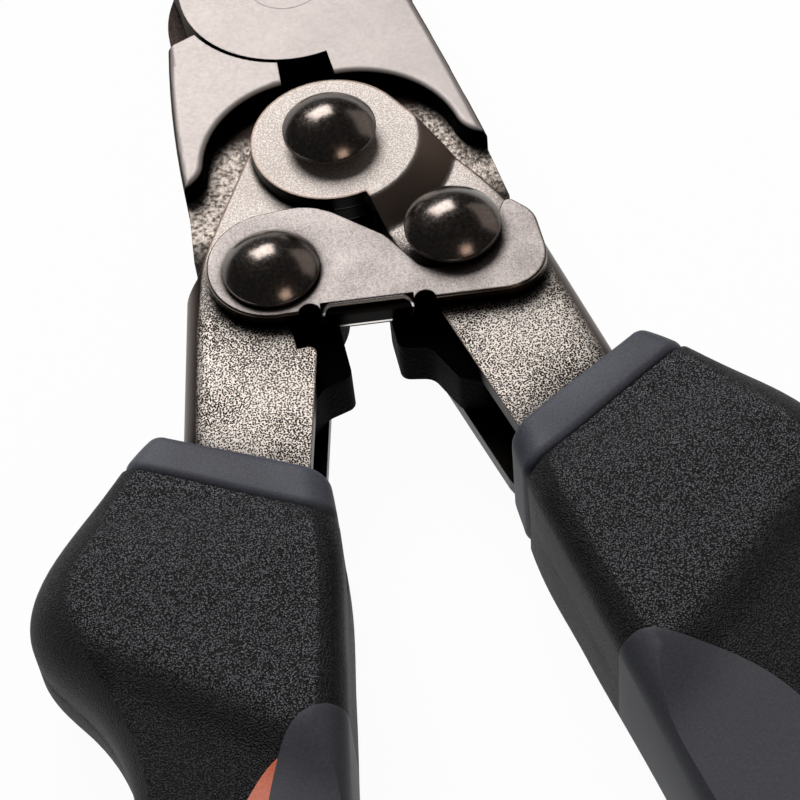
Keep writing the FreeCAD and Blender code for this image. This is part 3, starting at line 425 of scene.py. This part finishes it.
# %% Forged steel: painted shade, gloss and relief
scratches = place(tree, "ShaderNodeTexNoise", {"Vector": coordinates.outputs["Object"]},
                  Scale=SCRATCHES, Detail=2)
fine = place(tree, "ShaderNodeMapRange", {"Value": scratches.outputs["Fac"]}, To_Min=0.50,
             To_Max=0.62)
gloss = place(tree, "ShaderNodeMix", {0: land.outputs[0], 3: fine.outputs[0]}, data_type="FLOAT",
              i2=0.50)
gloss = place(tree, "ShaderNodeMix", {0: flat.outputs[0], 3: gloss.outputs[0]}, data_type="FLOAT",
              i2=0.85)
depth = place(tree, "ShaderNodeMapRange", {"Value": land.outputs[0]}, To_Min=0.13 * MM,
              To_Max=0.004 * MM)
edges = place(tree, "ShaderNodeBevel", samples=4, Radius=0.2 * MM)
relief = place(tree, "ShaderNodeBump", {"Height": peel.outputs["Fac"], "Normal": edges.outputs[0],
                                        "Distance": depth.outputs[0]}, Strength=1.0)
# painted shade: black where another part lies within 1.5 mm
crowd = place(tree, "ShaderNodeAmbientOcclusion", samples=6, Distance=1.5 * MM)
shaded_colour = with_painted_shade(tree, faces, crowd, 0.35, 0.75)
drive(tree, shader, Base_Color=shaded_colour.outputs[2], Roughness=gloss.outputs[0],
      Normal=relief.outputs[0])
shader.inputs["Metallic"].default_value = 1.0
dress(forged, "front_jaw", "rear_jaw", "jaw_rivet", "jaw_rivet_cap")
print("forged steel:", len(tree.nodes), "nodes")

# %% [markdown]
# ## Latch: stamped plate
#
# The latch is blanked from 2 mm sheet, as the arms are, and isn't blasted. Its face is smoother,
# with faint marks of the rolling mill across it, about 0.3 mm wide and five times as long. Real
# grooves in the mesh would cost many faces for so little relief, so a stretched noise draws them.

# %% Stamped steel: face
SPECKS, ROLLED, STAINS = 5.2 * PER_MM, 3.4 * PER_MM, 0.22 * PER_MM
stamped, tree, shader, coordinates = finish("stamped latch steel")
_, level = way_it_faces(tree, coordinates)
flat = place(tree, "ShaderNodeMapRange", {"Value": level}, From_Min=0.86, From_Max=0.97,
             interpolation_type="SMOOTHSTEP")
specks = place(tree, "ShaderNodeTexNoise", {"Vector": coordinates.outputs["Object"]},
               Scale=SPECKS, Detail=2, Roughness=0.6)
stretch = place(tree, "ShaderNodeMapping", {"Vector": coordinates.outputs["Object"]},
                Scale=(1.0, 0.2, 1.0))
rolled = place(tree, "ShaderNodeTexNoise", {"Vector": stretch.outputs[0]}, Scale=ROLLED, Detail=1)
stains = place(tree, "ShaderNodeTexNoise", {"Vector": coordinates.outputs["Object"]},
               Scale=STAINS, Detail=3)
broad = place(tree, "ShaderNodeMath", {0: rolled.outputs["Fac"], 2: stains.outputs["Fac"]},
              operation="MULTIPLY_ADD", i1=0.4)
mottle = place(tree, "ShaderNodeMath", {0: specks.outputs["Fac"], 2: broad.outputs[0]},
               operation="MULTIPLY_ADD", i1=2.0)
pale = place(tree, "ShaderNodeMapRange", {"Value": mottle.outputs[0]}, From_Min=1.3, From_Max=2.1)
face = place(tree, "ShaderNodeMix", {0: pale.outputs[0]}, data_type="RGBA",
             i6=to_linear("#827B78"), i7=to_linear("#AFA8A5"))
print("latch face:", len(tree.nodes), "nodes")

# %% [markdown]
# Round the plate's edge the upper part sheared bright and the lower part broke dark, so a colour
# ramp runs down from the top face. Its stops are set from code, as pairs of place and colour,
# where by hand each would be dragged along the ramp.

# %% Stamped steel: edge
def bands(ramp, *stops):
    """Set the stops of a colour ramp, as pairs of place and sRGB colour."""
    elements = ramp.color_ramp.elements
    for position, _ in stops[2:]:
        elements.new(position)
    for element, (position, code) in zip(elements, stops):
        element.position = position
        element.color = to_linear(code)


LATCH_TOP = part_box("latch_plate")[1].z
EDGE_DEPTH = 4 * MM                          # height over which the edge's ramp runs
spot = place(tree, "ShaderNodeSeparateXYZ", {0: coordinates.outputs["Object"]}).outputs
depth = place(tree, "ShaderNodeMapRange", {"Value": spot["Z"]}, From_Min=LATCH_TOP,
              From_Max=LATCH_TOP - EDGE_DEPTH)
sheared = place(tree, "ShaderNodeValToRGB", {0: depth.outputs[0]})
bands(sheared, (0.00, "#14100E"), (0.05, "#75675D"), (0.10, "#2A221E"), (0.20, "#4E433B"),
      (0.30, "#080706"))
print("the edge's ramp starts at", round(LATCH_TOP / MM, 2), "mm")

# %% [markdown]
# The thumb lip is folded. Its face is painted black as shade, with a painted highlight that runs
# round it as a line, where its rounded edges catch the light. The line is where the distance to a
# rounded rectangle has one value: the offset from its straight core, with negative parts cut to
# zero, gives that distance as its length.

# %% Stamped steel: lip
LIP_CENTRE, LIP_HALF = -1.05 * MM, 5.5 * MM  # across the tool, of the folded lip
LIP_DROP = 1.9 * MM                          # middle of the lip's face below the latch's top
LIP_CORE = (4.0 * MM, 0, 0.5 * MM)           # half width and half height of the straight core
LIP_BAND = 1.6 * MM                          # distance from the core over which the ramp runs
from_lip = place(tree, "ShaderNodeVectorMath", {0: coordinates.outputs["Object"]},
                 operation="SUBTRACT", i1=(LIP_CENTRE, 0, LATCH_TOP - LIP_DROP))
from_lip = place(tree, "ShaderNodeVectorMath", {0: from_lip.outputs[0]}, operation="MULTIPLY",
                 i1=(1, 0, 1))
from_lip = place(tree, "ShaderNodeVectorMath", {0: from_lip.outputs[0]}, operation="ABSOLUTE")
from_lip = place(tree, "ShaderNodeVectorMath", {0: from_lip.outputs[0]}, operation="SUBTRACT",
                 i1=LIP_CORE)
from_lip = place(tree, "ShaderNodeVectorMath", {0: from_lip.outputs[0]}, operation="MAXIMUM")
from_lip = place(tree, "ShaderNodeVectorMath", {0: from_lip.outputs[0]}, operation="LENGTH")
rim = place(tree, "ShaderNodeMapRange", {"Value": from_lip.outputs["Value"]}, From_Max=LIP_BAND)
# painted highlight: a pale line round the lip's face, on painted black shade
lip_highlight = place(tree, "ShaderNodeValToRGB", {0: rim.outputs[0]})
bands(lip_highlight, (0.00, "#0B0908"), (0.56, "#0B0908"), (0.60, "#F2ECE8"), (0.72, "#F2ECE8"),
      (0.78, "#0B0908"))
beside = place(tree, "ShaderNodeMath", {0: spot["X"]}, operation="SUBTRACT", i1=LIP_CENTRE)
beside = place(tree, "ShaderNodeMath", {0: beside.outputs[0]}, operation="ABSOLUTE")
lip = place(tree, "ShaderNodeMath", {0: beside.outputs[0]}, operation="LESS_THAN", i1=LIP_HALF)
edge = place(tree, "ShaderNodeMix", {0: lip.outputs[0], 6: sheared.outputs[0],
                                     7: lip_highlight.outputs[0]}, data_type="RGBA")
print("latch edge and lip:", len(tree.nodes), "nodes")

# %% [markdown]
# The face is satin and the broken edge glossy with oil. The mottle gives the face a shallow
# leather grain, and black shade is painted under the rivet heads.

# %% Stamped steel: painted shade, gloss and relief
faces = place(tree, "ShaderNodeMix", {0: flat.outputs[0], 6: edge.outputs[2],
                                      7: face.outputs[2]}, data_type="RGBA")
gloss = place(tree, "ShaderNodeMapRange", {"Value": flat.outputs[0]}, To_Min=0.22, To_Max=0.58)
edges = place(tree, "ShaderNodeBevel", samples=4, Radius=0.2 * MM)
relief = place(tree, "ShaderNodeBump", {"Height": mottle.outputs[0], "Normal": edges.outputs[0]},
               Strength=0.5, Distance=0.01 * MM)
# painted shade: black under the rivet heads, within 2.2 mm
crowd = place(tree, "ShaderNodeAmbientOcclusion", samples=6, Distance=2.2 * MM)
shaded_colour = with_painted_shade(tree, faces, crowd, 0.62, 0.90)
drive(tree, shader, Base_Color=shaded_colour.outputs[2], Roughness=gloss.outputs[0],
      Normal=relief.outputs[0])
shader.inputs["Metallic"].default_value = 1.0
dress(stamped, "latch_plate")
print("stamped steel:", len(tree.nodes), "nodes")

# %% [markdown]
# ## Rivets and spring: oil blacked steel
#
# The rivet heads are cold formed, blacked in hot oil and rubbed by handling. Marks of the
# setting tool, about 0.4 mm wide, break up the highlight. One noise drives colour, gloss and
# relief together, because the spots that stand proud are rubbed, so they are paler and duller.

# %% Blacked steel
MARKS = 2.4 * PER_MM
blacked, tree, shader, coordinates = finish("oil blacked rivet steel")
marks = place(tree, "ShaderNodeTexNoise", {"Vector": coordinates.outputs["Object"]},
              Scale=MARKS, Detail=3, Roughness=0.7)
tint = place(tree, "ShaderNodeMix", {0: marks.outputs["Fac"]}, data_type="RGBA",
             i6=to_linear("#3A332F"), i7=to_linear("#807873"))
gloss = place(tree, "ShaderNodeMapRange", {"Value": marks.outputs["Fac"]}, From_Min=0.3,
              From_Max=0.7, To_Min=0.16, To_Max=0.28)
edges = place(tree, "ShaderNodeBevel", samples=4, Radius=0.2 * MM)
relief = place(tree, "ShaderNodeBump", {"Height": marks.outputs["Fac"],
                                        "Normal": edges.outputs[0]},
               Strength=0.28, Distance=0.02 * MM)
drive(tree, shader, Base_Color=tint.outputs[2], Roughness=gloss.outputs[0],
      Normal=relief.outputs[0])
shader.inputs["Metallic"].default_value = 1.0
dress(blacked, "handle_pivot_cap", "left_tail_cap", "right_tail_cap", "handle_pivot_bush",
      "return_spring")
print("blacked steel:", len(tree.nodes), "nodes")

# %% [markdown]
# ## Grip bodies: black soft rubber
#
# The grip's core is hard coloured plastic moulded on the tang. The soft black body, the smooth
# grey insert and the collar are moulded over it. The black rubber has a leather grain of about
# 0.2 mm. Its pebble tips are pale, as grain and as painted glints, and are painted dark as shade
# on the slopes and in the waist. Cells give the pebbles, and a noise breaks up their round
# outlines.

# %% Black rubber
PEBBLES, CREASES = 5.0 * PER_MM, 5.6 * PER_MM
WAIST = (8.7 * MM, 9.85 * MM)                # from the middle plane, between waist and crest
GUARD_FOOT = (-61 * MM, -56 * MM)            # nearer the jaws than this no painted shade darkens the waist
rubber, tree, shader, coordinates = finish("black soft grip, pebbled")
spot, off_middle = place_in_solid(tree, coordinates)
_, level = way_it_faces(tree, coordinates)
pebbles = place(tree, "ShaderNodeTexVoronoi", {"Vector": coordinates.outputs["Object"]},
                Scale=PEBBLES, feature="SMOOTH_F1", Smoothness=0.25)
creases = place(tree, "ShaderNodeTexNoise", {"Vector": coordinates.outputs["Object"]},
                Scale=CREASES, Detail=2, Roughness=0.6)
lumps = place(tree, "ShaderNodeMath", {0: pebbles.outputs["Distance"], 2: creases.outputs["Fac"]},
              operation="MULTIPLY_ADD", i1=-1.6)
tips = place(tree, "ShaderNodeMapRange", {"Value": lumps.outputs[0]}, From_Min=-0.32,
             From_Max=0.40)
# painted shade: tips dimmer on slopes than on level ground
level_light = place(tree, "ShaderNodeMapRange", {"Value": level}, From_Min=0.93, From_Max=0.992,
                To_Min=0.22, To_Max=1.0, interpolation_type="SMOOTHSTEP")
tips = place(tree, "ShaderNodeMath", {0: tips.outputs[0], 1: level_light.outputs[0]},
             operation="MULTIPLY")
# painted shade in the waist, below the crest
proud = place(tree, "ShaderNodeMapRange", {"Value": off_middle}, From_Min=WAIST[0],
              From_Max=WAIST[1], To_Min=0.28, To_Max=1.0, interpolation_type="SMOOTHSTEP")
above = place(tree, "ShaderNodeMapRange", {"Value": spot["Y"]}, From_Min=GUARD_FOOT[0],
              From_Max=GUARD_FOOT[1])
proud = place(tree, "ShaderNodeMath", {0: proud.outputs[0], 1: above.outputs[0]},
              operation="MAXIMUM")
tips = place(tree, "ShaderNodeMath", {0: tips.outputs[0], 1: proud.outputs[0]},
             operation="MULTIPLY")
# pale tips, partly painted glints, on black rubber
black = place(tree, "ShaderNodeMix", {0: tips.outputs[0]}, data_type="RGBA",
              i6=to_linear("#0B0B0D"), i7=to_linear("#94949C"))
gloss = place(tree, "ShaderNodeMapRange", {"Value": tips.outputs[0]}, To_Min=0.55, To_Max=0.30)
relief = place(tree, "ShaderNodeBump", {"Height": lumps.outputs[0]}, Strength=1.0,
               Distance=0.11 * MM)
drive(tree, shader, Base_Color=black.outputs[2], Roughness=gloss.outputs[0],
      Normal=relief.outputs[0])
shader.inputs["Specular IOR Level"].default_value = 0.20
print("rubber:", len(tree.nodes), "nodes")

# %% [markdown]
# ## Collar, insert and core: matt moulded plastics
#
# The collar is bluish grey, with broad clouds as well as fine dust. The insert is smoother and
# a little darker. The core is coloured and glossier, and shows as a stripe.
# All three carry the spark-eroded grain of the mould. It is drawn at 0.25 to 0.4 mm, coarser
# than it is, because the real one would be too fine to show.

# %% Collar
collar, tree, shader, coordinates = finish("bluish grey matt collar")
dust = place(tree, "ShaderNodeTexNoise", {"Vector": coordinates.outputs["Object"]},
             Scale=4.2 * PER_MM, Detail=2)
broad = place(tree, "ShaderNodeTexNoise", {"Vector": coordinates.outputs["Object"]},
              Scale=0.09 * PER_MM, Detail=2)
both = place(tree, "ShaderNodeMath", {0: dust.outputs["Fac"], 1: broad.outputs["Fac"]},
             operation="ADD")
grey = place(tree, "ShaderNodeMapRange", {"Value": both.outputs[0]}, From_Min=0.7, From_Max=1.3)
tint = place(tree, "ShaderNodeMix", {0: grey.outputs[0]}, data_type="RGBA",
             i6=to_linear("#373942"), i7=to_linear("#50545F"))
relief = place(tree, "ShaderNodeBump", {"Height": dust.outputs["Fac"]}, Strength=0.3,
               Distance=0.04 * MM)
drive(tree, shader, Base_Color=tint.outputs[2], Normal=relief.outputs[0])
shader.inputs["Roughness"].default_value = 0.60
shader.inputs["Specular IOR Level"].default_value = 0.35
print("collar:", len(tree.nodes), "nodes")


# %% [markdown]
# Insert and core are built alike, from one noise between two close colours. Two copies of the
# same lines would do. One function with named values shows at once where the two differ.

# %% Insert and core
def moulded(name, dark, light, grain, detail, depth, roughness, specular):
    """A moulded plastic whose colour drifts between two, with a grain of this relief."""
    material, tree, shader, coordinates = finish(name)
    dust = place(tree, "ShaderNodeTexNoise", {"Vector": coordinates.outputs["Object"]},
                 Scale=grain, Detail=detail)
    tint = place(tree, "ShaderNodeMix", {0: dust.outputs["Fac"]}, data_type="RGBA",
                 i6=to_linear(dark), i7=to_linear(light))
    relief = place(tree, "ShaderNodeBump", {"Height": dust.outputs["Fac"]}, Strength=0.2,
                   Distance=depth)
    drive(tree, shader, Base_Color=tint.outputs[2], Normal=relief.outputs[0])
    shader.inputs["Roughness"].default_value = roughness
    shader.inputs["Specular IOR Level"].default_value = specular
    return material


insert = moulded("smooth grey insert", dark="#34363C", light="#4E5058", grain=3.6 * PER_MM,
                 detail=2, depth=0.04 * MM, roughness=0.58, specular=0.22)
core = moulded("orange core plastic", dark="#C05536", light="#E3764F", grain=2.5 * PER_MM,
               detail=3, depth=0.03 * MM, roughness=0.42, specular=0.5)
for side in SIDES:
    dress(core, side + "_grip_core")
print("plastics:", [m.name for m in (rubber, collar, insert, core)])

# %% [markdown]
# ## Rivets: the profile
#
# A rivet is a bar whose end is struck into a head: shank, flat underside, a short upright rim
# and a dome that runs slightly to a cone, as cold heading leaves it. It could be spun from a
# drawn profile. Here the profile is a list of rings, because each ring then says one radius and
# one height. The dome mixes an arc, cut from a circle, with a straight cone.

# %% Rivet profile
HEAD, RIM, RISE, SHANK = 5.6 * MM, 0.7 * MM, 3.6 * MM, 3.0 * MM
PLAIN_NECK = SHANK + 0.02 * MM         # a hair wider, so that no two rings fall together
HOOKED_NECK = 3.3 * MM                 # the latch hooks round this one
BEARING = MIDDLE + 7.9 * MM            # where a thicker neck may start, above the upper flanges
UNDERCUT, BREAK = 0.15 * MM, 0.1 * MM  # broken edges below and above the upright rim
DOME_RINGS, DOME_STEP = 15, 6          # rings of the dome, and degrees from one to the next
DOME_FOOT = 0.992                      # the dome starts a little inside the rim
BALL, CONE = 0.78, 0.22                # shares of arc and of cone in the dome's profile
CUT = 0.333                            # square of the height where a unit circle is cut


def rivet_rings(neck, seat):
    """Radius and height of each ring above the foot of the shank."""
    rings = [(SHANK, BEARING), (neck, BEARING), (neck, seat), (HEAD - UNDERCUT, seat),
             (HEAD, seat + UNDERCUT), (HEAD, seat + RIM - BREAK)]
    for i in range(DOME_RINGS):
        across = math.cos(math.radians(DOME_STEP * i + 1))
        arc = math.sqrt(1 - across * across * (1 - CUT)) - math.sqrt(CUT)
        rise = BALL * arc / (1 - math.sqrt(CUT)) + CONE * (1 - across)
        rings.append((HEAD * DOME_FOOT * across, seat + RIM + (RISE - RIM) * rise))
    return rings


print("rings in a rivet:", len(rivet_rings(PLAIN_NECK, BEARING)))

# %% [markdown]
# ## Rivets: the mesh
#
# Each rivet is drawn up from one circle: the open end is extruded, lifted and scaled for every
# ring of the profile, and merged to a point at the top. The three differ only in length and in
# the neck under the head, so the same steps are run with other numbers. The CAD rivets could be
# dressed as they are. These are drawn anew for the broken edges of the rim and the dome's cone.

# %% Rivets
def draw_ring(factor, lift):
    """Extrude the ring of the open end, lift it and scale it about the axis."""
    bpy.ops.mesh.extrude_region_move(TRANSFORM_OT_translate={"value": (0, 0, lift)})
    bpy.ops.transform.resize(value=(factor, factor, 1), center_override=(0, 0, 0))


def rivet(node, neck, body):
    """A rivet in the place of a CAD node, with this radius of neck under the head."""
    low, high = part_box(node)
    bpy.ops.mesh.primitive_circle_add(vertices=72, radius=SHANK, fill_type="NGON",
                                      location=(0, 0, 0))
    piece = bpy.context.object
    piece.name = node + "_visual"
    bpy.ops.object.mode_set(mode="EDIT")
    bpy.ops.mesh.select_all(action="SELECT")
    bpy.ops.transform.translate(value=(0, 0, low.z))
    radius = SHANK
    height = low.z
    for new_radius, new_height in rivet_rings(neck, high.z - RISE):
        draw_ring(new_radius / radius, new_height - height)
        radius = new_radius
        height = new_height
    bpy.ops.mesh.merge(type="CENTER")
    bpy.ops.mesh.select_all(action="SELECT")
    bpy.ops.transform.translate(value=((low.x + high.x) / 2, (low.y + high.y) / 2, 0))
    bpy.ops.mesh.normals_make_consistent(inside=False)
    bpy.ops.object.mode_set(mode="OBJECT")
    bpy.ops.object.transform_apply(location=True, rotation=True, scale=True)
    bpy.ops.object.shade_smooth_by_angle(angle=math.radians(35))
    piece.data.materials.append(blacked)
    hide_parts(node)
    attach(piece, body)
    bpy.ops.object.select_all(action="DESELECT")
    print(piece.name, "dome top at", round(height / MM, 2), "mm")


rivet("handle_pivot_rivet", PLAIN_NECK, "left_handle")
rivet("left_tail_rivet", PLAIN_NECK, "left_handle")
rivet("right_tail_rivet", HOOKED_NECK, "right_handle")

# %% [markdown]
# ## Mould line
#
# Where the two halves of the mould met, the black body carries a fine line. An image of a line
# would need a map of the surface. Here the mesh itself is cut through at that height, the cut is
# widened by a bevel, and the points on it are drawn inwards, which leaves a shallow groove.

# %% Mould line
LINE_WIDTH, LINE_DEPTH = 0.14 * MM, 0.12 * MM     # width is to each side of the cut


def draw_mould_line(piece, height):
    """Press a groove into a piece that is in edit mode with all its points selected."""
    bpy.ops.mesh.bisect(plane_co=(0, 0, height), plane_no=(0, 0, 1))
    bpy.ops.mesh.bevel(offset=LINE_WIDTH, segments=2)
    bpy.ops.object.mode_set(mode="OBJECT")
    for vertex in piece.data.vertices:
        vertex.select = abs(vertex.co.z - height) < 0.01 * MM
    bpy.ops.object.mode_set(mode="EDIT")
    bpy.ops.mesh.select_mode(type="VERT")
    bpy.ops.transform.shrink_fatten(value=-LINE_DEPTH)


print("mould line:", round(LINE_DEPTH / MM, 2), "mm deep")

# %% [markdown]
# ## Grip mouldings
#
# Moulded rubber never has a knife edge: the mould is milled with a ball cutter, so each ridge
# comes out rounded. The mouldings are copies of the CAD solids, because their shapes are right
# already. Such a copy is loose triangles, and a bevel passes by an edge that only one face owns,
# so the doubled points are merged first.

# %% Rounded mouldings
DOUBLED = 0.004 * MM                   # points closer than this are one
BODY_ROUND, HARD_ROUND = 0.15 * MM, 0.12 * MM


def rounded_copy(node, material, body, round_by, line_at=None):
    """A copy of a CAD solid with merged points, a mould line at a height, and round edges."""
    piece = bpy.data.objects.new(node + "_visual", nodes[node].data.copy())
    bpy.context.collection.objects.link(piece)
    bpy.context.view_layer.objects.active = piece
    piece.select_set(True)
    bpy.ops.object.mode_set(mode="EDIT")
    bpy.ops.mesh.select_all(action="SELECT")
    bpy.ops.mesh.remove_doubles(threshold=DOUBLED)
    bpy.ops.mesh.normals_make_consistent(inside=False)
    if line_at is not None:
        draw_mould_line(piece, line_at)
    bpy.ops.object.mode_set(mode="OBJECT")
    soften = piece.modifiers.new("soften", "BEVEL")
    soften.limit_method = "ANGLE"
    soften.angle_limit = math.radians(32)
    soften.width = round_by
    soften.segments = 3
    bpy.ops.object.modifier_apply(modifier="soften")
    bpy.ops.object.shade_smooth_by_angle(angle=math.radians(25))
    piece.data.materials.clear()
    piece.data.materials.append(material)
    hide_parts(node)
    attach(piece, body)
    bpy.ops.object.select_all(action="DESELECT")
    print(piece.name, len(piece.data.polygons), "faces")


for side in SIDES:
    rounded_copy(side + "_grip_body", rubber, side + "_handle", BODY_ROUND, line_at=MIDDLE)
    rounded_copy(side + "_grip_collar", collar, side + "_handle", HARD_ROUND)
    rounded_copy(side + "_grip_insert", insert, side + "_handle", HARD_ROUND)
